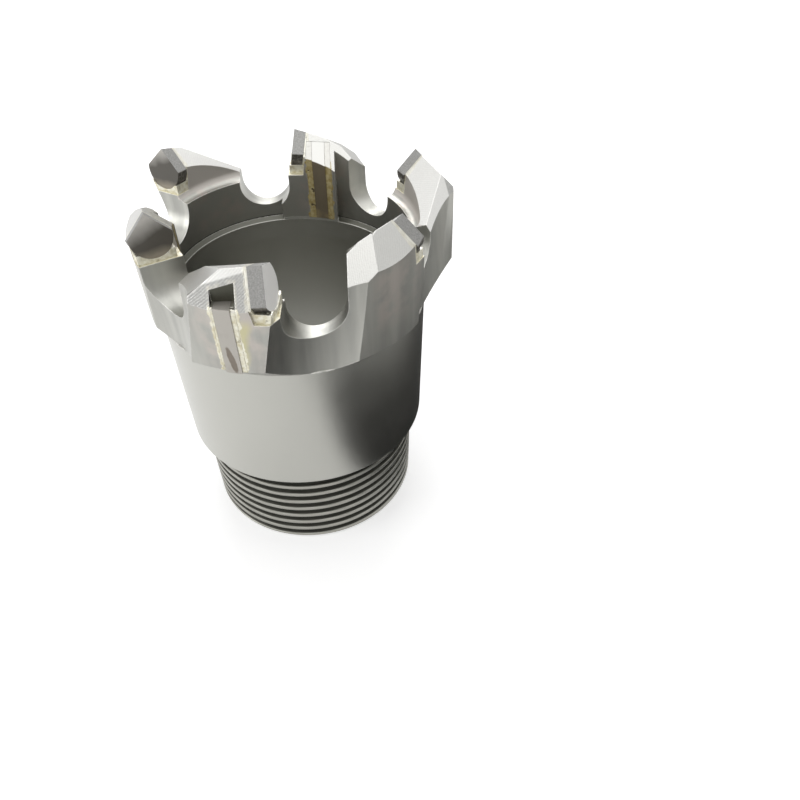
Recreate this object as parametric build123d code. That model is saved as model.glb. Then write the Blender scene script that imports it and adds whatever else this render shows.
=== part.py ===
from build123d import *
from math import cos, radians, sin
import os

# Core bit standing on its threaded end. Millimetres, +Z up.
# The origin is on the axis, in the lower end face of the shank.
# Seen from above the bit turns anticlockwise, and each cutter faces that way.
# A tooth frame has X out through the cutter, Y the way the cutter faces, Z up.

# Turned body
body_diameter = 88.9
bore_diameter = 75.2
shank_diameter = 81.6
shank_length = 38.7
shank_chamfer = 0.8
plain_length = 49.8
crown_length = 38.9

# Crown ring and pads
ring_inner_radius = 39.0
ring_step_height = 6.9
inward_tooth_radius = 47.1
outer_pad_radius = 54.0
core_pad_radius = 34.2
core_pad_flare_height = 2.6
core_pad_back = -14.7
core_pad_front = 5.5

# Teeth: even numbers carry the outer gauge, odd numbers the core gauge
tooth_count = 6
first_tooth_angle = -86.0
tooth_step = 360 / tooth_count
sector_front = 14.0

# Waterways
lead_face = 2.0
waterway_width = 17.4
waterway_depth = 25.8

# Leaning recesses outside, under the waterways
recess_radius = 27.0
recess_bite = 0.45
recess_lean = 15.0
recess_pivot_height = 16.5
recess_shift_outer = 4.5
recess_shift_inner = 1.0

# Cutters
cutter_diameter = 12.7
cutter_thickness = 4.0
back_rake = 10.6
outer_cutter_inset = 6.0
inner_cutter_inset = 7.0
cutter_turns = (9.0, 0.0, 0.0, 0.0, 0.0, 0.0)
cutter_lifts = (0.8, 0.0, 0.0, 0.0, 0.0, 0.0)

# Hand-ground top of each tooth, from the front one anticlockwise: how steeply the outer and
# inner flats fall from the ridge, each with its fall to the rear, then where each heel plane
# passes at the cutter's reach (Y, depth below the tips) and its falls to the rear and outwards
ground_back = -36.0
ground_front = 8.0
ridge_shifts = (-0.45, 0.0, 0.0, 0.0, 0.0, 0.0)
ridge_lifts = (0.2, 0.0, 0.0, 0.0, 0.0, 0.0)
flats = [
    (1.33, 0.30, 0.45, 0.08),
    (1.00, 0.36, 0.95, -0.17),
    (1.00, 0.22, 1.00, 0.10),
    (1.00, 0.40, 1.00, 0.05),
    (1.00, 0.40, 1.00, 0.05),
    (1.00, 0.44, 1.00, 0.12),
]
heels = [
    [(-13.0, 2.1, 0.70, 0.0)],
    [(-19.0, 7.4, 0.88, 0.38)],
    [(-19.5, 6.2, 1.50, 0.0)],
    [(-8.0, 1.3, 0.38, 0.0), (-17.2, 4.8, 0.86, 0.0)],
    [(-8.0, 1.4, 0.70, 0.0)],
    [(-9.0, 1.8, 0.50, 0.0), (-20.0, 7.8, 0.80, 0.0)],
]

# Pockets, braze and the ledge inside the outward teeth
floor_gap = 1.0
seam = 0.6
braze_half_width = 5.6
braze_height = 3.0
braze_front = 1.4
ledge_depth = 15.7
ledge_fillet = 3.0
ledge_wall_radius = 42.3

# Gauge bars: Y limits in the tooth frame, heights above the crown's base, braze widths
bar_proud = 0.15
outer_bar_depth = 5.3
inner_bar_depth = 4.2
outer_bar = (-14.3, -9.8)
outer_bar_heights = (9.0, 29.8)
outer_bar_joints = (0.6, 1.4)
inner_bar = (-11.3, -6.9)
inner_bar_heights = (9.5, 30.8)
inner_bar_joints = (2.0, 2.1)

# How far the cutting shapes run past the metal
overcut = 8.0

# Worked out from the values above
body_radius = body_diameter / 2
bore_radius = bore_diameter / 2
shank_radius = shank_diameter / 2
cutter_radius = cutter_diameter / 2
crown_base = shank_length + plain_length
tip_height = crown_base + crown_length
rake = radians(back_rake)
cutter_centre_height = tip_height - cutter_radius * cos(rake)
tip_setback = cutter_radius * sin(rake)
pocket_floor = cutter_centre_height - cutter_radius * cos(rake) - floor_gap
pocket_back = cutter_thickness + seam
ring_step = crown_base + ring_step_height
ledge_height = tip_height - ledge_depth
over = tip_height + overcut
outside = outer_pad_radius + overcut
inside = core_pad_radius - overcut
pad_root_radius = (ring_inner_radius + body_radius) / 2


def block(x, y, z):
    """Box between pairs of limits."""
    size = (x[1] - x[0], y[1] - y[0], z[1] - z[0])
    return Pos(x[0], y[0], z[0]) * Box(*size, align=(Align.MIN, Align.MIN, Align.MIN))


def turned(points, start=0.0, sweep=360.0):
    """Closed (radius, height) outline turned about Z."""
    outline = make_face(Polyline(*[(r, 0, z) for r, z in points], close=True))
    return Rot(0, 0, start) * revolve(outline, Axis.Z, sweep)


def is_outer(tooth):
    return tooth % 2 == 0


def reach(tooth):
    """Distance of a tooth's cutter centre from the axis."""
    if is_outer(tooth):
        return outer_pad_radius - outer_cutter_inset
    return core_pad_radius + inner_cutter_inset


def at_tooth(tooth):
    return Rot(0, 0, first_tooth_angle + tooth * tooth_step)


def shank_and_body():
    """Tube below the crown, with the smaller shank."""
    return turned([
        (bore_radius, 0),
        (shank_radius - shank_chamfer, 0),
        (shank_radius, shank_chamfer),
        (shank_radius, shank_length),
        (body_radius, shank_length),
        (body_radius, crown_base),
        (bore_radius, crown_base),
    ])


def crown_sector(tooth):
    """One sixth of the crown ring, flared at 45 degrees to the radius of its tooth."""
    radius = outer_pad_radius if is_outer(tooth) else inward_tooth_radius
    return turned([
        (bore_radius, crown_base),
        (body_radius, crown_base),
        (radius, crown_base + radius - body_radius),
        (radius, over),
        (ring_inner_radius, over),
        (ring_inner_radius, ring_step + ring_inner_radius - bore_radius),
        (bore_radius, ring_step),
    ], sector_front - tooth_step, tooth_step)


def core_pad():
    """Pad that brings an inward tooth to the core gauge, flared at its foot."""
    band = turned([
        (pad_root_radius, ring_step),
        (bore_radius, ring_step),
        (core_pad_radius, ring_step + core_pad_flare_height),
        (core_pad_radius, over),
        (pad_root_radius, over),
    ], -tooth_step / 2, tooth_step)
    return band & block((inside, outside), (core_pad_back, core_pad_front), (crown_base, over))


def waterway():
    """Round-bottomed slot ahead of a tooth, parallel to the tooth's X."""
    radius = waterway_width / 2
    middle = lead_face + radius
    root = tip_height - waterway_depth + radius
    length = outside - inside
    round_part = Pos(inside + length / 2, middle, root) * Rot(0, 90, 0) * Cylinder(radius, length)
    return round_part + block((inside, outside), (lead_face, lead_face + waterway_width), (root, over))


def recess(tooth):
    """Leaning hollow that clears the outside below and beside a waterway."""
    shift = recess_shift_outer if is_outer(tooth) else recess_shift_inner
    centre = body_radius - recess_bite + recess_radius
    tool = Pos(centre, shift, crown_base + recess_pivot_height) * Rot(-recess_lean, 0, 0)
    hollow = Rot(0, 0, sector_front) * tool * Cylinder(recess_radius, 2 * outside)
    return hollow & block((0, 2 * outside), (-outside, outside), (crown_base, over))


def ledge():
    """Cleared inside of an outward tooth, down to a ledge with a round corner."""
    corner = ledge_wall_radius - ledge_fillet
    clear = ring_inner_radius - ledge_fillet
    top = ledge_height + ledge_fillet
    cove = CenterArc((corner, top), ledge_fillet, -90, 90)
    rest = Polyline(
        (ledge_wall_radius, top),
        (ledge_wall_radius, over),
        (clear, over),
        (clear, ledge_height),
        (corner, ledge_height),
    )
    outline = Plane.XZ * make_face([cove, rest])
    return Rot(0, 0, sector_front - tooth_step) * revolve(outline, Axis.Z, tooth_step)


def grinding_room():
    """Room of one tooth, on its own side of the waterway behind it."""
    heights = (crown_base, over + overcut)
    behind = lead_face + 0.9 * waterway_width
    own_side = Rot(0, 0, -tooth_step) * block((0, 2 * outside), (behind, 2 * outside), heights)
    return own_side & block((inside, outside), (ground_back, ground_front), heights)


def over_plane(point, normal):
    """Everything above a plane in a tooth's room."""
    size = 4 * outside
    slab = Plane(origin=point, z_dir=normal) * Box(
        size, size, size, align=(Align.CENTER, Align.CENTER, Align.MIN)
    )
    return slab & grinding_room()


def ground_off(tooth):
    """Two flats that meet in the ridge through the tip, and the heel behind them."""
    outer_fall, outer_relief, inner_fall, inner_relief = flats[tooth]
    tip = (reach(tooth) + ridge_shifts[tooth], -tip_setback, tip_height + ridge_lifts[tooth])
    cut = over_plane(tip, (outer_fall, -outer_relief, 1))
    cut += over_plane(tip, (-inner_fall, -inner_relief, 1))
    for y, depth, rear_fall, side_fall in heels[tooth]:
        heel = (reach(tooth), y, tip_height - depth)
        cut += over_plane(heel, (side_fall, -rear_fall, 1))
    return cut


def seat(tooth):
    """Turn of a tooth's cutter and pocket about the upright through the cutter."""
    middle = reach(tooth)
    return Pos(middle, 0, 0) * Rot(0, 0, -cutter_turns[tooth]) * Pos(-middle, 0, 0)


def disc(tooth, radius, front, back):
    """Round slice square to the cutter, between two depths behind its face."""
    face = Plane(
        origin=(reach(tooth), 0, cutter_centre_height + cutter_lifts[tooth]),
        x_dir=(1, 0, 0),
        z_dir=(0, cos(rake), sin(rake)),
    )
    piece = Pos(0, 0, -back) * Cylinder(
        radius, back - front, align=(Align.CENTER, Align.CENTER, Align.MIN)
    )
    return seat(tooth) * (face * piece)


def back_wall(height):
    """Y of the pocket's back wall at a height."""
    return (-pocket_back - (height - cutter_centre_height) * sin(rake)) / cos(rake)


def pocket(tooth):
    """Open seat across the tooth: level floor, back wall square to the cutter."""
    front = lead_face + waterway_width / 2
    side = Polyline(
        (inside, back_wall(pocket_floor), pocket_floor),
        (inside, front, pocket_floor),
        (inside, front, over),
        (inside, back_wall(over), over),
        close=True,
    )
    return seat(tooth) * extrude(make_face(side), outside - inside, dir=(1, 0, 0))


def cutter(tooth):
    return disc(tooth, cutter_radius, 0, cutter_thickness) - ground_off(tooth)


def cutter_braze(tooth, crown):
    """Seam behind the cutter and the fill under it, inside the pocket."""
    middle = reach(tooth)
    fill = block(
        (middle - braze_half_width, middle + braze_half_width),
        (-pocket_back - overcut, braze_front),
        (pocket_floor, pocket_floor + braze_height),
    )
    metal = seat(tooth) * fill + disc(tooth, cutter_radius + seam, cutter_thickness, pocket_back + seam)
    metal = metal - disc(tooth, cutter_radius, -overcut, cutter_thickness)
    return metal & pocket(tooth) & crown


def bar_limits(tooth):
    """Y limits, heights, braze widths and X limits of a tooth's gauge bar."""
    if is_outer(tooth):
        face = outer_pad_radius + bar_proud
        across, heights, joints = outer_bar, outer_bar_heights, outer_bar_joints
        x = (face - outer_bar_depth, outside)
    else:
        face = core_pad_radius - bar_proud
        across, heights, joints = inner_bar, inner_bar_heights, inner_bar_joints
        x = (inside, face + inner_bar_depth)
    return across, (crown_base + heights[0], crown_base + heights[1]), joints, x


def gauge_bar(tooth):
    """Upright hard metal bar, its outer face ground to the gauge radius."""
    across, heights, joints, x = bar_limits(tooth)
    bar = block(x, across, heights)
    gauge = outer_pad_radius + bar_proud if is_outer(tooth) else core_pad_radius - bar_proud
    round_tool = Pos(0, 0, crown_base) * Cylinder(gauge, 2 * (over - crown_base))
    return bar & round_tool if is_outer(tooth) else bar - round_tool


def bar_slot(tooth):
    """Slot for the bar and its braze, open through the top of the tooth."""
    across, heights, joints, x = bar_limits(tooth)
    return block(x, (across[0] - joints[0], across[1] + joints[1]), (heights[0], over))


def bar_braze(tooth, crown):
    """Braze beside the bar, up to the bar's own height."""
    across, heights, joints, x = bar_limits(tooth)
    fill = block(x, (across[0] - joints[0], across[1] + joints[1]), heights)
    return (fill - block(x, across, heights)) & crown


def crown_before_slots():
    """Body with its waterways, recesses, ledges and ground tooth tops."""
    whole = shank_and_body()
    for tooth in range(tooth_count):
        whole += at_tooth(tooth) * crown_sector(tooth)
    for tooth in range(1, tooth_count, 2):
        whole += at_tooth(tooth) * core_pad()
    for tooth in range(tooth_count):
        whole -= at_tooth(tooth) * waterway()
        whole -= at_tooth(tooth) * recess(tooth)
        whole -= at_tooth(tooth) * ground_off(tooth)
    for tooth in range(0, tooth_count, 2):
        whole -= at_tooth(tooth) * ledge()
    return whole


def save(shape, name):
    export_step(shape, f"parts/{name}.step")


os.makedirs("parts", exist_ok=True)
crown = crown_before_slots()
body = crown
for tooth in range(tooth_count):
    number = tooth + 1
    place = at_tooth(tooth)
    tooth_metal = place.inverse() * crown
    body = body - place * pocket(tooth) - place * bar_slot(tooth)
    save(place * cutter(tooth), f"cutter_{number}")
    save(place * cutter_braze(tooth, tooth_metal), f"cutter_braze_{number}")
    save(place * gauge_bar(tooth), f"gauge_bar_{number}")
    save(place * bar_braze(tooth, tooth_metal), f"bar_braze_{number}")
save(body, "bit_body")
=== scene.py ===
# %% [markdown]
# # A core bit with brazed cutters
# A core bit is a steel tube that cuts a ring of rock and leaves a core standing inside it. Its
# shank screws to the drill string and its crown carries six brazed cutters. The CAD model is
# loaded as a fixed frame. This script adds what CAD leaves out: the helical thread, the ground
# and blasted metal, the braze that ran over the steel, light and camera. Lengths are metres in
# the scene and millimetres in the patterns.

# %% Frame
import bpy
import numpy as np
from math import pi, radians
from mathutils import Matrix, Vector


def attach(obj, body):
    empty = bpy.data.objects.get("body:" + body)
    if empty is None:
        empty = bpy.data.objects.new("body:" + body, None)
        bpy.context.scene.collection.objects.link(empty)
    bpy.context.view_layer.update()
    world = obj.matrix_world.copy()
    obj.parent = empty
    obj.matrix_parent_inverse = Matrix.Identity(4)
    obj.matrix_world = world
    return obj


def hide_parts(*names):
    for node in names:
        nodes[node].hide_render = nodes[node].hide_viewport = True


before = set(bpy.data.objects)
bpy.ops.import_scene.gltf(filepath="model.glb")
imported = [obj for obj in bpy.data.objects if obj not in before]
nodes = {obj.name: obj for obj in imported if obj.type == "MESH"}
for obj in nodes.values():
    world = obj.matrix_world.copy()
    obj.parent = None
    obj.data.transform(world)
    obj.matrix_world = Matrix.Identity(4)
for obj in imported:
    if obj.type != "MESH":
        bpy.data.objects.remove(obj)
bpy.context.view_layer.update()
scene = bpy.context.scene
mm = 0.001

# %% [markdown]
# ## Shader maths
# A material here is a small formula over the surface. The nodes could be wired by hand, one
# call for each link. Wrapping a socket in a class lets ordinary Python operators add the
# nodes, so a mask reads like the sentence that describes it.

# %% Shader maths


class Signal:
    """One shader socket that takes part in Python expressions."""

    def __init__(self, owner, socket):
        self.owner = owner
        self.socket = socket

    def math(self, operation, *values):
        """The result of one Math node."""
        return self.owner.node("Math", {"operation": operation}, values)

    def __add__(self, other):
        return self.math("ADD", self, other)

    def __sub__(self, other):
        return self.math("SUBTRACT", self, other)

    def __rsub__(self, other):
        return self.math("SUBTRACT", other, self)

    def __mul__(self, other):
        return self.math("MULTIPLY", self, other)

    __radd__ = __add__
    __rmul__ = __mul__

    def sine(self):
        return self.math("SINE", self)

    def root(self):
        return self.math("SQRT", self)

    def held(self):
        """The signal held between 0 and 1."""
        return self.owner.node("Clamp", {}, [self])

    def over(self, edge, soft=0.1):
        """1 above the edge and 0 below it: (signal - edge) / soft + 1/2, held in 0 to 1."""
        ramp = {"operation": "MULTIPLY_ADD", "use_clamp": True}
        return self.owner.node("Math", ramp, (self - edge, 1 / soft, 0.5))

    def under(self, edge, soft=0.1):
        """0 above the edge and 1 below it."""
        return 1 - self.over(edge, soft)

    def within(self, low, high, soft=0.1):
        """1 between two edges and 0 outside them."""
        return self.over(low, soft) * self.under(high, soft)


# %% [markdown]
# ## Node trees
# Materials and the white room behind the object are both trees of nodes. Each could be built
# with Blender's own calls, which take a line for every socket. One method that makes a node
# and fills its inputs keeps every formula below on a line or two.

# %% Node trees


class Nodes:
    """A node tree and the one method that adds to it."""

    def __init__(self, tree):
        self.tree = tree

    def feed(self, socket, value):
        """Links a signal to a socket, or sets a constant on it."""
        if isinstance(value, Signal):
            self.tree.links.new(value.socket, socket)
        else:
            socket.default_value = value

    def node(self, kind, settings, values=(), out=0):
        """Adds a node, sets its settings, then feeds its inputs in order or by name."""
        made = self.tree.nodes.new("ShaderNode" + kind)
        for name, value in settings.items():
            setattr(made, name, value)
        pairs = values.items() if isinstance(values, dict) else enumerate(values)
        for key, value in pairs:
            self.feed(made.inputs[key], value)
        return Signal(self, made.outputs[out])

    def seen(self):
        """1 for the rays that the camera sends and for the ones that a shine reflects."""
        kinds = ("Is Camera Ray", "Is Glossy Ray")
        camera, glossy = (self.node("LightPath", {}, out=kind) for kind in kinds)
        return camera + glossy


class Finish(Nodes):
    """A material and the few patterns that this script builds its look from."""

    def __init__(self, name):
        self.material = bpy.data.materials.new(name)
        self.material.use_nodes = True
        super().__init__(self.material.node_tree)
        self.shader = self.tree.nodes["Principled BSDF"]

    def place(self):
        """The point on the surface in Object coordinates, in metres."""
        return self.node("TexCoord", {}, out="Object")

    def attribute(self, name, out="Fac"):
        """What the mesh carries under this name."""
        return self.node("Attribute", {"attribute_name": name}, out=out)

    def parts(self, vector):
        """X, Y and Z of a vector."""
        return [self.node("SeparateXYZ", {}, [vector], out=i) for i in range(3)]

    def in_tooth(self, name):
        """X, Y and Z of the place or the facing in the tooth's own frame."""
        return self.parts(self.attribute("tooth_" + name, "Vector"))

    def noise(self, scale, detail=2.0, vector=None):
        """Cloudy values round 1/2, with spots about 1 / scale metres wide."""
        values = {"Vector": vector or self.place(), "Scale": scale, "Detail": detail}
        return self.node("TexNoise", {}, values)

    def mix(self, factor, a, b):
        """Colour a where the factor is 0 and b where it is 1."""
        a, b = (c if isinstance(c, Signal) else (*c, 1) for c in (a, b))
        return self.node("Mix", {"data_type": "RGBA"}, {0: factor, 6: a, 7: b}, out=2)

    def relief(self, height, depth, under=None):
        """Normal of a surface that a height field of this depth in metres stands on."""
        values = {"Strength": 1.0, "Distance": depth, "Height": height}
        if under:
            values["Normal"] = under
        return self.node("Bump", {}, values)

    def soft_edge(self, radius):
        """Normal rounded across edges, as a deburred edge is."""
        return self.node("Bevel", {"samples": 6}, {"Radius": radius})

    def set(self, **inputs):
        """Feeds the shader's inputs, where _ stands for a space, and gives the material."""
        for name, value in inputs.items():
            value = (*value, 1) if isinstance(value, tuple) else value
            self.feed(self.shader.inputs[name.replace("_", " ")], value)
        return self.material


# %% [markdown]
# ## Tooth frames
# Every tooth is laid out in its own frame: X out through the cutter, Y the way the cutter
# faces, Z up. Marks near a tooth could be placed one by one in the shared frame. Writing each
# corner's place in its tooth's frame as a mesh attribute lets one formula serve all six.

# %% Tooth frames
first_tooth = radians(-86)
step = pi / 3
sector_front = radians(14)


def tooth_of(azimuth):
    """Number of the tooth whose sector, up to 14 degrees ahead of it, holds each azimuth."""
    turned = (azimuth - first_tooth - sector_front) % (2 * pi)
    return np.floor(turned / step + 1).astype(int) % 6


def into_tooth(points, tooth):
    """Rows turned back by each tooth's own azimuth."""
    a = first_tooth + tooth * step
    x = points[..., 0] * np.cos(a) + points[..., 1] * np.sin(a)
    y = points[..., 1] * np.cos(a) - points[..., 0] * np.sin(a)
    return np.stack([x, y, points[..., 2]], axis=-1)


azimuths = first_tooth + step * np.arange(6)
print("teeth at (degrees)", np.degrees(azimuths).round().astype(int).tolist())

# %% [markdown]
# ## Meshes from the CAD
# The frame's triangles come loose, each with corners of its own. Blender's merge tool could
# join them, but it works through the edit mode of every object. Corners that round to the
# same two micrometres become one here, and triangles that collapse are dropped.

# %% Meshes from the CAD
weld = 2e-6
print("CAD nodes", len(nodes))


def merged(node):
    """Vertices and triangles of a CAD node with its loose triangles joined."""
    mesh = nodes[node].data
    co = np.empty(len(mesh.vertices) * 3, np.float32)
    mesh.vertices.foreach_get("co", co)
    tri = np.empty(len(mesh.polygons) * 3, np.int32)
    mesh.polygons.foreach_get("vertices", tri)
    keys = np.round(co.reshape(-1, 3) / weld).astype(np.int64)
    _, first, index = np.unique(keys, axis=0, return_index=True, return_inverse=True)
    tri = index.reshape(-1)[tri].reshape(-1, 3)
    flat = (tri[:, 0] == tri[:, 1]) | (tri[:, 1] == tri[:, 2]) | (tri[:, 2] == tri[:, 0])
    return co.reshape(-1, 3)[first].astype(float), tri[~flat]


def mark(mesh, name, domain, values):
    """Mesh attribute from one number or one vector for each corner or face."""
    values = np.asarray(values, np.float32)
    kind, field = ("FLOAT_VECTOR", "vector") if values.ndim > 1 else ("FLOAT", "value")
    mesh.attributes.new(name, kind, domain).data.foreach_set(field, values.ravel())


def piece(name, co, faces, *replaced, smooth=35):
    """Mesh object with the tooth-frame attributes, riding on the frame."""
    mesh = bpy.data.meshes.new(name)
    mesh.from_pydata(co.tolist(), [], faces.tolist())
    centre = co[faces].mean(axis=1)
    a, b, c = (co[faces[:, i]] for i in range(3))
    normal = np.cross(b - a, c - a)
    normal /= np.maximum(np.linalg.norm(normal, axis=1), 1e-12)[:, None]
    tooth = tooth_of(np.arctan2(centre[:, 1], centre[:, 0]))
    mark(mesh, "tooth_place", "CORNER", into_tooth(co[faces], tooth[:, None]) / mm)
    mark(mesh, "tooth_facing", "FACE", into_tooth(normal, tooth))
    mark(mesh, "outward_tooth", "FACE", tooth % 2 == 0)
    mark(mesh, "tooth_number", "FACE", tooth)
    made = bpy.data.objects.new(name, mesh)
    scene.collection.objects.link(made)
    mesh.shade_smooth()
    mesh.set_sharp_from_angle(angle=radians(smooth))
    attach(made, "root")
    if replaced:
        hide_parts(*replaced)
    print(name, "faces", len(faces))
    return made, centre, normal, tooth


# %% [markdown]
# ## Colours
# All metals here are cool greys that turn warmer where heat or braze touched them. They could
# be chosen for each face. One list of base colours, linear as the renderer mixes them, keeps
# the steel, the ground flats and the braze in step.

# %% Colours
steel_colour, light_steel = (0.43, 0.428, 0.395), (0.455, 0.452, 0.42)
streak_colour = (0.30, 0.30, 0.28)
tan_colour = (0.53, 0.47, 0.43)
ground_colour, pale_ground = (0.49, 0.487, 0.465), (0.72, 0.715, 0.69)
brushed_colour = (0.33, 0.328, 0.315)
scratch_colour = (0.60, 0.597, 0.575)
flush_colour = (0.52, 0.517, 0.495)
cove_colour = (0.56, 0.53, 0.49)
# Painted shade for the slot above an outer bar and the step at the crown's ring
painted_shade_colour = (0.08, 0.08, 0.065)
# Pale edge colour, part wear and part painted highlight
wear_and_highlight_colour = (0.86, 0.85, 0.82)
braze_colour, pale_braze = (0.60, 0.55, 0.38), (0.84, 0.82, 0.70)
gold_braze, light_gold = (0.40, 0.31, 0.13), (0.55, 0.47, 0.25)
olive_braze = (0.52, 0.49, 0.27)
print("brightest base colour", max(wear_and_highlight_colour))

# %% [markdown]
# ## Body steel
# The body is one steel turning, blasted after brazing to an even satin grey. Its bands, its
# stains and its ground tops could be separate skins cut out of the mesh. Masks on one material
# keep the body a single piece, and all of them start from the same few signals.

# %% Body steel
crown_from = 88.6  # where the plain body ends and the crown flares out
flats_from = 115   # above this height a leaning face beside a cutter was ground with it


class BodySteel(Finish):
    """The body's material and the signals that its masks share."""

    def __init__(self):
        super().__init__("bit_steel")
        self.x, self.y, self.z = self.in_tooth("place")
        self.radius = (self.x * self.x + self.y * self.y).root()
        self.up = self.in_tooth("facing")[2]
        self.outer = self.attribute("outward_tooth")
        self.ground = self.attribute("ground")
        self.ragged = self.noise(480, 4) - 0.5
        self.broad = self.noise(150, 2) - 0.5
        self.cloud = self.noise(60, 3)
        self.fine = self.noise(2200, 3)


steel = BodySteel()
print("steel starts with", len(steel.tree.nodes), "nodes")

# %% [markdown]
# ## Braze over the steel
# Molten braze ran out of the pockets and slots and froze as a thin skin with a ragged edge.
# It could be modelled as patches. A band between two planes of the tooth, whose limits a noise
# moves by a millimetre or two, gives the same edge and follows the wall under it.

# %% Braze over the steel
pad_face = 53.5   # the outer pads' faces lie beyond this radius
core_face = 36.0  # and the core pads' faces within this one
pocket_floor = (112.9, 114.3)
pocket_back = -7
seam_back, seam_front = -5.9, -3.9
outer_lead, outer_rear = (-10.2, -8.0), (-15.5, -13.9)
outer_heights = (89.5, 118.6)
inner_lead, inner_rear = (-7.6, -4.4), (-13.6, -10.8)
inner_heights = (97.6, 119.0)
rim_rear, rim_lead, rim_root = (-15.5, -14.7), (-8.6, -7.8), (48.2, 49.0)
rim_span, rim_from = (-15.3, -8.1), 48.4
stain_heights, stain_back, stain_front = (99, 114.5), -9, -8.4


def pocket_braze():
    """The pocket's floor, and the seam behind the cutter where the flats cut across it."""
    floor = steel.z.within(*pocket_floor, 0.3) * steel.y.over(pocket_back, 1) * steel.up.over(0.7, 0.1)
    seam = steel.y.within(seam_back + 1.2 * steel.ragged, seam_front, 0.3) * steel.z.over(flats_from, 1)
    return floor, seam * steel.up.over(0.3, 0.1)


def outer_braze():
    """Bands on both sides of an outer bar, with limits that the noises move."""
    low, high = outer_heights
    height = steel.z.within(low + 5 * steel.broad, high, 0.6)
    lead = steel.y.within(outer_lead[0], outer_lead[1] + 2.0 * steel.broad + 1.8 * steel.ragged, 0.3)
    rear = steel.y.within(outer_rear[0] + 1.6 * steel.ragged, outer_rear[1], 0.3)
    return steel.outer * steel.radius.over(pad_face, 0.3) * height * (lead + rear)


def slot_rim():
    """Line round the open top of an outer bar's slot, on the ground flat."""
    sides = steel.y.within(*rim_rear, 0.3) + steel.y.within(*rim_lead, 0.3)
    sides = sides * steel.x.over(rim_from, 0.3)
    root = steel.x.within(*rim_root, 0.3) * steel.y.within(*rim_span, 0.3)
    return steel.outer * steel.up.over(0.3, 0.1) * (sides + root)


def inner_braze():
    """Bands on both sides of an inner bar."""
    lead = steel.y.within(inner_lead[0], inner_lead[1] + 5.0 * steel.broad + 2.5 * steel.ragged, 0.3)
    rear = steel.y.within(inner_rear[0] + 2.0 * steel.ragged, inner_rear[1], 0.3)
    low, high = inner_heights
    height = steel.z.within(low, high + 2 * steel.ragged, 0.5)
    return (1 - steel.outer) * steel.radius.under(core_face, 0.5) * height * (lead + rear)


def flux_stain():
    """Thin olive stain ahead of an outer bar, whose front edge moves out by height / 5."""
    front = stain_front + (steel.z - stain_heights[0]) * 0.2 + 3 * steel.broad
    band = steel.z.within(*stain_heights, 3) * steel.y.within(stain_back, front, 1.8)
    return steel.outer * steel.radius.over(pad_face, 0.3) * band


floor_braze, seam_braze = pocket_braze()
rim_share = slot_rim() * steel.ragged.over(-0.02, 0.1) * 0.2
braze = (floor_braze + seam_braze * 0.35 + outer_braze() + rim_share + inner_braze()).held()
print("steel has", len(steel.tree.nodes), "nodes with its braze")

# %% [markdown]
# ## Ground and brushed steel
# The tops of the teeth were ground by hand after brazing and show the wheel's arcs. The crown
# was turned and carries faint upright streaks. A picture of brushed metal could be wrapped
# round it; a sine of the distance from one far point draws arcs at any size.

# %% Ground and brushed steel
arc_x, arc_y, arcs_per_mm = 26, 40, 13
stretch = (1, 1, 0.07)  # squeezes height, so a noise turns into upright streaks
cove_radius, cove_from = 42.6, 112.6
heat_heights, heat_span = (100, 119), (-20, -1)
bevel_from = 47.8
# Where painted shade darkens the slot above an outer bar and the step at the crown's ring
slot_sides, slot_root, slot_from = (-15.05, -8.25), 48.75, 116
ledge_radii, ledge_heights = (37.72, 39.1), (95.5, 97.2)


def crown_steel():
    """Satin steel with clouds, upright streaks and the tan that heat left near the tips."""
    along = steel.node("VectorMath", {"operation": "MULTIPLY"}, [steel.place(), stretch])
    streak = steel.noise(190, 4, along).over(0.52, 0.3) * steel.z.over(crown_from, 0.3)
    streak = streak * steel.radius.over(41, 1)
    heat = steel.z.within(*heat_heights, 6) * steel.y.within(*heat_span, 4)
    base = steel.mix(steel.cloud.over(0.5, 0.5) * 0.5, steel_colour, light_steel)
    base = steel.mix(streak * 0.8, base, streak_colour)
    return steel.mix(heat * steel.noise(170, 3).over(0.5, 0.2) * 0.5, base, tan_colour)


def wheel_arcs():
    """Sine of the distance from a point far behind the tooth, bent by a noise."""
    x, y = steel.x + arc_x, steel.y + arc_y
    return ((x * x + y * y).root() * arcs_per_mm + steel.noise(200, 2) * 9).sine()


def ground_flats(arcs):
    """Paler on the outward teeth, darker on their outer bevel, with arcs and fine scratches."""
    facet = steel.mix(steel.outer, ground_colour, pale_ground)
    facet = steel.mix(steel.outer * steel.x.over(bevel_from, 0.3), facet, brushed_colour)
    return steel.mix(arcs.over(0.2, 2.0) * 0.22 + steel.fine.over(0.5, 0.3) * 0.3, facet, scratch_colour)


def painted_shade_hollows():
    """Painted shade in the slot above an outer bar and on the step at the crown's ring."""
    slot = steel.outer * steel.z.over(slot_from, 1) * steel.y.within(*slot_sides, 0.1)
    slot = slot * steel.x.over(slot_root, 0.1) * (1 - steel.ground)
    ledge = steel.radius.within(*ledge_radii, 0.1) * steel.z.within(*ledge_heights, 0.2)
    return (slot + ledge * 0.9).held()


def worn_and_highlit_edges():
    """Part wear, part painted highlight: 1 - (rounded normal . true normal) is high beside an edge; a
    noise breaks the line.
    """
    normals = [steel.soft_edge(0.0005), steel.node("NewGeometry", {}, out="Normal")]
    edge = 1 - steel.node("VectorMath", {"operation": "DOT_PRODUCT"}, normals, "Value")
    return edge.over(0.05, 0.08) * steel.noise(900, 3).over(0.42, 0.3) * steel.z.over(88, 1)


arcs = wheel_arcs()
cove = steel.outer * steel.radius.under(cove_radius, 0.1) * steel.z.over(cove_from, 0.5)
cove = cove * (1 - steel.ground)
print("steel has", len(steel.tree.nodes), "nodes with its arcs")

# %% [markdown]
# ## The body's material
# The look is built in layers, each mixed over the ones before: turned steel, ground flats,
# painted shade in the hollows, flux stain, edge wear with a painted highlight and then the
# braze. One painted map could hold them all, at one size on the surface. Formulas keep each
# layer sharp at any distance.

# %% The body's material


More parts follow.
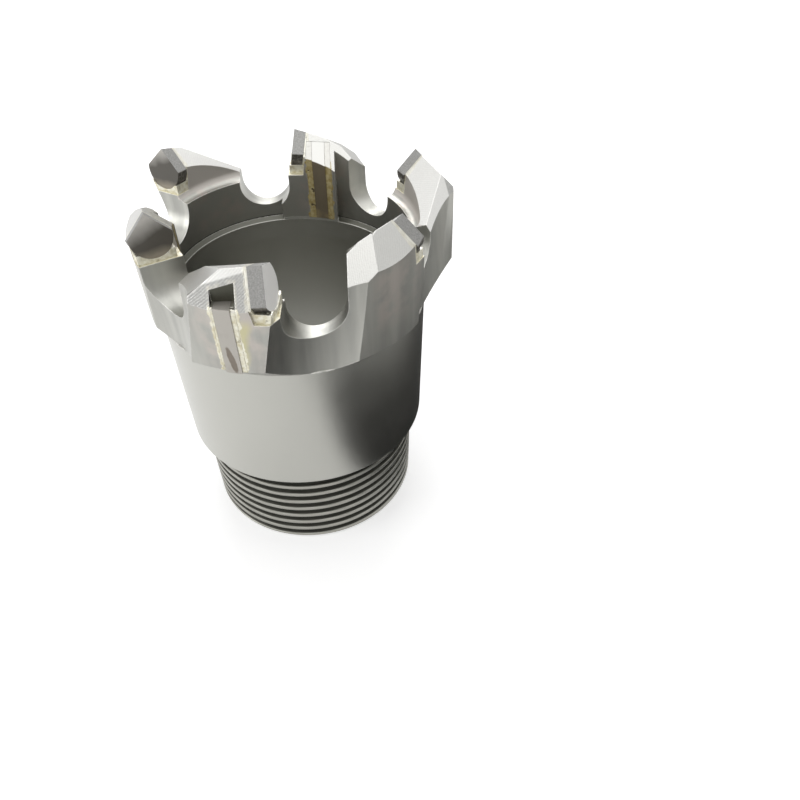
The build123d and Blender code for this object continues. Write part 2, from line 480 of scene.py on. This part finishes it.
def body_colour():
    """Steel, flats, cove, painted shade in hollows, stain, wear and painted edge highlight, then braze
    over all.
    """
    base = steel.mix(steel.ground, crown_steel(), ground_flats(arcs))
    base = steel.mix(cove, base, cove_colour)
    # Painted shade: the slot above an outer bar and the step at the crown's ring drawn near black
    base = steel.mix(painted_shade_hollows(), base, painted_shade_colour)
    base = steel.mix(flux_stain() * 0.7, base, olive_braze)
    # Edges lightened, part wear and part painted highlight
    base = steel.mix(worn_and_highlit_edges() * 0.55, base, wear_and_highlight_colour)
    cream = steel.mix(steel.noise(600, 3).over(0.48, 0.3), braze_colour, pale_braze)
    gold = steel.mix(steel.noise(700, 4).over(0.5, 0.2), gold_braze, light_gold)
    return steel.mix(braze, base, steel.mix(steel.outer + floor_braze + seam_braze, gold, cream))


def body_relief():
    """Blasted grain that the grinding took off, arcs and scratches there, lumps of braze."""
    grain = steel.noise(5200, 2) * (1 - 0.7 * steel.ground)
    wheel = 0.35 * steel.ground * arcs + 1.2 * steel.ground * steel.fine
    height = grain + wheel + 3.0 * braze * steel.noise(900, 3)
    return steel.relief(height, 0.00003, steel.soft_edge(0.0003))


satin = 0.27 + 0.08 * steel.cloud + 0.08 * steel.z.over(crown_from, 0.5)
body_metal = steel.set(
    Base_Color=body_colour(),
    Metallic=1.0 - 0.35 * braze - 0.55 * cove,
    Roughness=satin - 0.06 * steel.ground + 0.10 * braze,
    Normal=body_relief(),
)
print("steel nodes", len(steel.tree.nodes))

# %% [markdown]
# ## Body
# The CAD body has a plain cylinder where the thread is. A thread could be cut with a boolean,
# which leaves ragged triangles. Here the plain faces are left out of a copy and a helical
# surface takes their place.

# %% Body
shank_radius, thread_from, thread_to = 40.8, 0.8, 38.7
near = 0.01
co, tri = merged("bit_body")
r = np.hypot(co[:, 0], co[:, 1]) / mm
z = co[:, 2] / mm
on_shank = (abs(r - shank_radius) < 2 * near) & (z > thread_from - near) & (z < thread_to + near)
tri = tri[~on_shank[tri].all(axis=1)]
body, centre, normal, tooth = piece("body", co, tri, "bit_body", smooth=28)
body.data.materials.append(body_metal)

# %% [markdown]
# ## Ground faces
# The grinder only touched the leaning faces on top of the teeth. They could be listed by
# number, which any change of the CAD would upset. Height, lean and the side of the cutter
# tell them apart from the coves and the roots of the waterways.

# %% Ground faces
ground_from, lead_face = 111, 2.05
least_lean, most_lean = 0.35, 0.96  # upward share of the face's normal
cove_reach, cove_top = 42.4, 115
height = centre[:, 2] / mm
radius = np.hypot(centre[:, 0], centre[:, 1]) / mm
in_cove = (tooth % 2 == 0) & (radius < cove_reach) & (height < cove_top)
leaning = (normal[:, 2] > least_lean) & (normal[:, 2] < most_lean)
in_waterway = into_tooth(centre, tooth)[:, 1] / mm > lead_face
ground = (height > ground_from) & leaning & ~in_cove & ~in_waterway
mark(body.data, "ground", "FACE", ground)
print("ground faces", int(ground.sum()))

# %% [markdown]
# ## Thread
# The shank has a right-hand thread of six turns to the inch with flat crests and roots. It
# could be a displaced cylinder, which would need a very dense mesh to keep its corners. Rows
# of points that follow the helix keep every corner sharp with few faces.

# %% Thread
pitch = 25.4 / 6
thread_depth = 1.0
first_groove = 3.2  # height of its middle at the front
run_in, run_out = (1.0, 1.0), (37.6, 1.2)  # where the depth fades, and over which height
# Phase within one pitch, and the depth there as a share of the full depth
profile = np.array([
    (0.0, 1), (0.18, 1), (0.24, 0.92), (0.33, 0.06), (0.37, 0),
    (0.63, 0), (0.67, 0.06), (0.76, 0.92), (0.82, 1),
])


def thread_surface(turns=12, around=192):
    """Radius = crest - depth x profile(phase), with the depth faded at both ends.

    Height = first groove + pitch x (phase + turns from the front), so a turn climbs a pitch.
    """
    angle = np.linspace(0, 2 * pi, around + 1)
    turn = np.arange(-2, turns - 1)
    phase = (turn[:, None] + profile[None, :, 0]).ravel()
    cut = np.tile(profile[:, 1], len(turn))
    z = first_groove + pitch * (phase[:, None] + (angle[None, :] + pi / 2) / (2 * pi))
    z = np.clip(z, thread_from, thread_to + 0.1)
    fade_in = np.clip((z - run_in[0]) / run_in[1], 0, 1)
    fade_out = np.clip((run_out[0] - z) / run_out[1], 0, 1)
    radius = shank_radius - thread_depth * cut[:, None] * fade_in * fade_out
    grid = np.stack([radius * np.cos(angle), radius * np.sin(angle), z], axis=-1) * mm
    rows, cols = z.shape
    i, j = np.meshgrid(np.arange(rows - 1), np.arange(cols - 1), indexing="ij")
    a = (i * cols + j).ravel()
    quads = np.stack([a, a + 1, a + cols + 1, a + cols], axis=1)
    tall = np.ptp(z.reshape(-1)[quads], axis=1) > 1e-6
    return grid.reshape(-1, 3), quads[tall]


co, quads = thread_surface()
thread, *_ = piece("thread", co, quads, "bit_body", smooth=30)

# %% [markdown]
# ## Thread steel
# Painted shade darkens the grooves; the crests keep the turned steel's grey. The grooves could
# be painted dark by face, which would break at the flanks. Reading the radius blends the
# painted shade out up each flank.

# %% Thread steel
# Painted shade in the grooves, blended up the flanks to the crest colour
groove_shade_colour, crest_colour = (0.045, 0.045, 0.038), (0.36, 0.355, 0.32)


def thread_finish():
    """Turned steel, with painted shade that darkens the grooves below the crests."""
    finish = Finish("thread_steel")
    x, y, z = finish.parts(finish.place())
    radius = (x * x + y * y).root() * 1000
    crest = radius.over(shank_radius - 0.25, 0.4)
    tool_marks = (z * 30000).sine() + finish.noise(3000, 2)
    return finish.set(
        Base_Color=finish.mix(crest, groove_shade_colour, crest_colour),
        Metallic=1.0,
        Roughness=0.34 + 0.2 * (1 - crest),
        Normal=finish.relief(tool_marks, 0.00001),
    )


thread.data.materials.append(thread_finish())
print("thread turns", round((thread_to - thread_from) / pitch, 1))

# %% [markdown]
# ## Cutter metal
# Each cutter is a dark sintered disc, lapped smooth on its face and ground with a coarse wheel
# on its flats. Three materials could cover the three kinds of surface. The facing attribute
# tells them apart, so one material does.

# %% Cutter metal
# Painted reflection on the lapped face: dark middle, brown foot, bright head, and bright all over on the
# front tooth
face_reflection_colours = (0.085, 0.078, 0.064), (0.30, 0.265, 0.205), (0.56, 0.54, 0.50)
front_face_reflection = (0.88, 0.87, 0.84)
flat_colours = (0.21, 0.208, 0.20), (0.33, 0.327, 0.315)
rim_colours = (0.12, 0.115, 0.10), (0.24, 0.23, 0.21)
foot_height, foot_blend = 118.2, 2.5
head_rise, head_blend, outward_drop = 139.4, 4.5, 4


def cutter_finish():
    """Lapped face with a painted reflection: bright at its head, dark across its middle, brown at its
    foot.

    The front tooth's face is painted bright all over as a reflection. The flats are brushed and the rim
    is dull.
    """
    finish = Finish("cutter")
    x, y, z = finish.in_tooth("place")
    _, forward, upward = finish.in_tooth("facing")
    face = forward.over(0.85, 0.05)
    top = upward.over(0.35, 0.1) * (1 - face)
    wave = finish.noise(170, 2) * 3
    rise = z + 0.35 * x + wave - outward_drop * finish.attribute("outward_tooth")
    # Painted reflection across the face, set by height and by how far out it lies
    middle, foot, head = face_reflection_colours
    face_reflection = finish.mix((z + wave).under(foot_height, foot_blend), middle, foot)
    face_reflection = finish.mix(rise.over(head_rise, head_blend), face_reflection, head)
    front = finish.attribute("tooth_number").under(0.5, 0.1)
    face_reflection = finish.mix(front, face_reflection, front_face_reflection)
    speck = finish.noise(1500, 4)
    flats = finish.mix(finish.noise(2400, 3).over(0.5, 0.5), *flat_colours)
    rim = finish.mix(speck.over(0.55, 0.2), *rim_colours)
    return finish.set(
        Base_Color=finish.mix(face, finish.mix(top, rim, flats), face_reflection),
        Metallic=0.85 - 0.75 * face,
        Roughness=0.42 - 0.14 * face + 0.08 * speck,
        Normal=finish.relief(speck * (1 - 0.8 * face), 0.00004, finish.soft_edge(0.0003)),
    )


cutter_metal = cutter_finish()
print("cutter nodes", len(cutter_metal.node_tree.nodes))

# %% [markdown]
# ## Bar metal
# The gauge bars are pressed hard metal, matt and a little warm. The outer ones carry one long
# painted shadow at their foot and the inner ones are brown with braze. An ellipse in the
# tooth's frame, bent by a noise, places that shadow on every outer bar without a map.

# %% Bar metal
outer_bar_colours = (0.42, 0.40, 0.365), (0.16, 0.13, 0.10)
inner_bar_colours = (0.24, 0.20, 0.14), (0.36, 0.29, 0.16)
stain_below, stain_rate = 106, 0.014
# Where the painted shadow at an outer bar's foot lies
shade_spot_y, shade_spot_z, shade_spot_lean = -12.0, 102, 0.15
shade_spot_height, shade_spot_width = 0.035, 0.8  # 1 / half axis squared, as an ellipse has it


def bar_finish():
    """Even warm grey with a long painted shadow at an outer bar's foot, and a flush ground top."""
    finish = Finish("hard_metal")
    _, y, z = finish.in_tooth("place")
    outer = finish.attribute("outward_tooth")
    top = (1 - outer) * finish.in_tooth("facing")[2].over(0.4, 0.1)
    stain = (finish.noise(230, 3) + (stain_below - z) * stain_rate).over(0.60, 0.12)
    up = z - shade_spot_z
    across = y - shade_spot_y + shade_spot_lean * up
    ellipse = up * up * shade_spot_height + across * across * shade_spot_width
    # Painted shadow: an ellipse bent by a noise, dark on the outer bar's foot
    shade_spot = (ellipse + finish.noise(400, 3)).under(1.2, 0.3)
    light = finish.mix(shade_spot * 0.8, *outer_bar_colours)
    dark = finish.mix(stain * 0.6, *inner_bar_colours)
    return finish.set(
        Base_Color=finish.mix(top, finish.mix(outer, dark, light), flush_colour),
        Metallic=0.8 + 0.2 * top,
        Roughness=0.45 + 0.1 * stain - 0.17 * top,
        Normal=finish.relief(finish.noise(3000, 3), 0.00003, finish.soft_edge(0.00025)),
    )


bar_metal = bar_finish()
print("bar nodes", len(bar_metal.node_tree.nodes))

# %% [markdown]
# ## Braze metal
# Braze froze as lumpy cream metal round the cutters and as ochre beside the inner bars, with
# pits where flux boiled out. The lumps could be sculpted. They are under a tenth of a
# millimetre high, so bump is enough, and the grinder left the tops as bright as the steel.

# %% Braze metal
pit_colour = (0.10, 0.075, 0.04)


def braze_finish():
    """Solidified braze: cream by the cutters, ochre beside the inner bars, slightly lumpy."""
    finish = Finish("braze")
    inner_band = (1 - finish.attribute("outward_tooth")) * finish.attribute("beside_bar")
    z = finish.in_tooth("place")[2]
    top = finish.in_tooth("facing")[2].over(0.3, 0.1) * z.over(flats_from, 1)
    lump = finish.noise(650, 4)
    cream = finish.mix(lump.over(0.46, 0.3), braze_colour, pale_braze)
    ochre = finish.mix(lump.over(0.48, 0.2), gold_braze, light_gold)
    pit = finish.noise(520, 2).over(0.68, 0.04)
    colour = finish.mix(inner_band, cream, ochre)
    colour = finish.mix(pit * (0.25 + 0.6 * inner_band), colour, pit_colour)
    return finish.set(
        Base_Color=finish.mix(top * (0.55 + 0.4 * inner_band), colour, flush_colour),
        Metallic=0.55 + 0.4 * top,
        Roughness=0.42 + 0.15 * lump - 0.15 * top,
        Normal=finish.relief(lump * 3 - pit * 3, 0.00008, finish.soft_edge(0.0004)),
    )


braze_metal = braze_finish()
print("braze nodes", len(braze_metal.node_tree.nodes))

# %% [markdown]
# ## Cutters, bars and their braze
# On the real bit the inner bars were brazed in proud and then ground off with the tooth. The
# CAD bars end level, inside the slot. A boolean could trim longer bars; moving their top
# corners to the flat's own height gives the same flush end with the same few faces.

# %% Cutters, bars and their braze
tip_height, inner_reach, ridge_y = 127.4, 41.2, 1.17
level_tops_over, sink = 119.2, 0.03
# For each inward tooth, counted from 0, its flat's fall to the core side and to the rear,
# then its heel's place, height and fall
inner_flats = {
    1: (0.95, -0.17, -19.0, 120.0, 0.88),
    3: (1.00, 0.05, -8.0, 126.1, 0.38),
    5: (1.00, 0.12, -9.0, 125.6, 0.50),
}


def ground_flush(co, tooth):
    """Tops moved to the lower of flat and heel, each = its height + fall x distance."""
    fall, rear_fall, heel_y, heel_height, heel_fall = inner_flats[tooth]
    x, y, z = (into_tooth(co, tooth) / mm).T
    flat = tip_height + fall * (x - inner_reach) + rear_fall * (y + ridge_y)
    heel = heel_height + heel_fall * (y - heel_y)
    top = np.minimum(flat, heel) - sink
    return np.column_stack([co[:, :2], np.where(z > level_tops_over, top * mm, co[:, 2])])


kinds = {
    "cutter": (cutter_metal, "cutter"),
    "gauge_bar": (bar_metal, "hard_metal"),
    "cutter_braze": (braze_metal, "braze"),
    "bar_braze": (braze_metal, "braze"),
}
for number in range(1, 7):
    for kind, (metal, slot) in kinds.items():
        name = f"{kind}_{number}"
        co, tri = merged(name)
        if number % 2 == 0 and kind in ("gauge_bar", "bar_braze"):
            co = ground_flush(co, number - 1)
        made, *_ = piece(name + "_shown", co, tri, name)
        mark(made.data, "beside_bar", "FACE", np.full(len(tri), kind == "bar_braze"))
        made.data.materials.append(metal)

# %% [markdown]
# ## Floor
# The photograph was cut out on pure white. A white void would drop the object's shadow with
# it. A pale sheet that glows a little where the camera or a reflection sees it stays white
# and still takes the shadow.

# %% Floor


def card(name, corners):
    """Flat stage piece through corners in metres."""
    mesh = bpy.data.meshes.new(name)
    mesh.from_pydata(corners, [], [range(len(corners))])
    made = bpy.data.objects.new(name, mesh)
    scene.collection.objects.link(made)
    return made


floor_level, half_side, glow = -0.0001, 3.0, 0.42
signs = ((-1, -1), (1, -1), (1, 1), (-1, 1))
floor = card("floor", [(x * half_side, y * half_side, floor_level) for x, y in signs])
paper = Finish("floor_paper")
floor.data.materials.append(paper.set(
    Base_Color=(0.75, 0.75, 0.75),
    Roughness=0.9,
    Emission_Color=paper.mix(paper.seen() * glow, (0.0, 0.0, 0.0), (1.0, 1.0, 1.0)),
    Emission_Strength=1.0,
))
print("floor side (m)", 2 * half_side)

# %% [markdown]
# ## Cards for reflections
# The body's right side reads nearly black, as shiny metal does beside something dark. The
# dark could be painted into its material, which would then show from every angle. Three
# cards that only reflections can see give the same dark side, as black flags do in a studio.

# %% Cards for reflections
low, high = 0.001, 0.10
# Cloth colour and corners of each card
flags = {
    "flag": (0.012, 0.012, 0.012, [
        (0.046, -0.13, low), (0.118, -0.13, low), (0.15, 0.0, low), (0.16, 0.2, low),
        (0.046, 0.2, low),
    ]),
    "flag_front": (0.36, 0.36, 0.35, [
        (0.03, -0.27, low), (0.15, -0.27, low), (0.15, -0.15, low), (0.03, -0.15, low),
    ]),
    "flag_side": (0.62, 0.62, 0.61, [
        (0.125, -0.15, 0.0), (0.17, 0.25, 0.0), (0.17, 0.25, high), (0.125, -0.15, high),
    ]),
}
for name, (*cloth, corners) in flags.items():
    flag = card(name, corners)
    flag.data.materials.append(Finish(name + "_cloth").set(Base_Color=tuple(cloth), Roughness=1.0))
    flag.visible_camera = flag.visible_shadow = flag.visible_diffuse = False
print("cards", len(flags))

# %% [markdown]
# ## Light
# The picture has soft light from above, with a brighter back and left. One small lamp would
# draw hard shadows and burn spots into the metal. A wide sun fills everything evenly, and two
# area lamps brighten the edges.

# %% Light


def softbox(name, place, target, width, height, watts):
    """Rectangular area lamp that looks at a target."""
    data = bpy.data.lights.new(name, "AREA")
    data.shape = "RECTANGLE"
    data.size, data.size_y, data.energy = width, height, watts
    lamp = bpy.data.objects.new(name, data)
    aim = (Vector(target) - Vector(place)).to_track_quat("-Z", "Y")
    lamp.matrix_world = Matrix.Translation(place) @ aim.to_matrix().to_4x4()
    scene.collection.objects.link(lamp)


sky = bpy.data.objects.new("soft_sky", bpy.data.lights.new("soft_sky", "SUN"))
sky.data.energy, sky.data.angle = 1.1, 1.3
scene.collection.objects.link(sky)
softbox("back_box", (-0.05, 0.60, 0.62), (0, 0, 0.10), 0.6, 0.3, 2.4)
softbox("left_box", (-0.65, -0.25, 0.40), (0, 0, 0.08), 0.4, 0.4, 1.6)
print("sun angle (degrees)", round(np.degrees(sky.data.angle)))

# %% [markdown]
# ## White room
# The camera and the reflections see pure white. If the room also lit the object with full
# strength, the soft lamps would drown in it, so other rays find it dimmer.

# %% White room
dim = 0.45
world = bpy.data.worlds.new("studio")
scene.world = world
world.use_nodes = True
room = Nodes(world.node_tree)
background = room.tree.nodes["Background"]
room.feed(background.inputs["Color"], (1, 1, 1, 1))
room.feed(background.inputs["Strength"], dim + (1 - dim) * room.seen())
print("room strength for light", dim)

# %% [markdown]
# ## Camera
# One pinhole camera was fitted to the six tips, the cutters' outlines and the body's edges.
# Most of them fall within one to three pixels of the photograph. Placing it by eye would
# leave the teeth further off.

# %% Camera
camera_place = Vector((0.03667, -0.17826, 0.20915))
camera_down, camera_roll = 0.7692, 0.0163
focal_px, picture_px = 615.6, 800
lens_data = bpy.data.cameras.new("camera")
lens_data.sensor_width = 36
lens_data.lens = focal_px / picture_px * lens_data.sensor_width
lens_data.clip_start = 0.01
camera = bpy.data.objects.new("camera", lens_data)
camera.matrix_world = (
    Matrix.Translation(camera_place)
    @ Matrix.Rotation(pi / 2 - camera_down, 4, "X")
    @ Matrix.Rotation(camera_roll, 4, "Z")
)
scene.collection.objects.link(camera)
scene.camera = camera
scene.view_settings.view_transform = "Standard"
print("lens (mm)", round(lens_data.lens, 2))
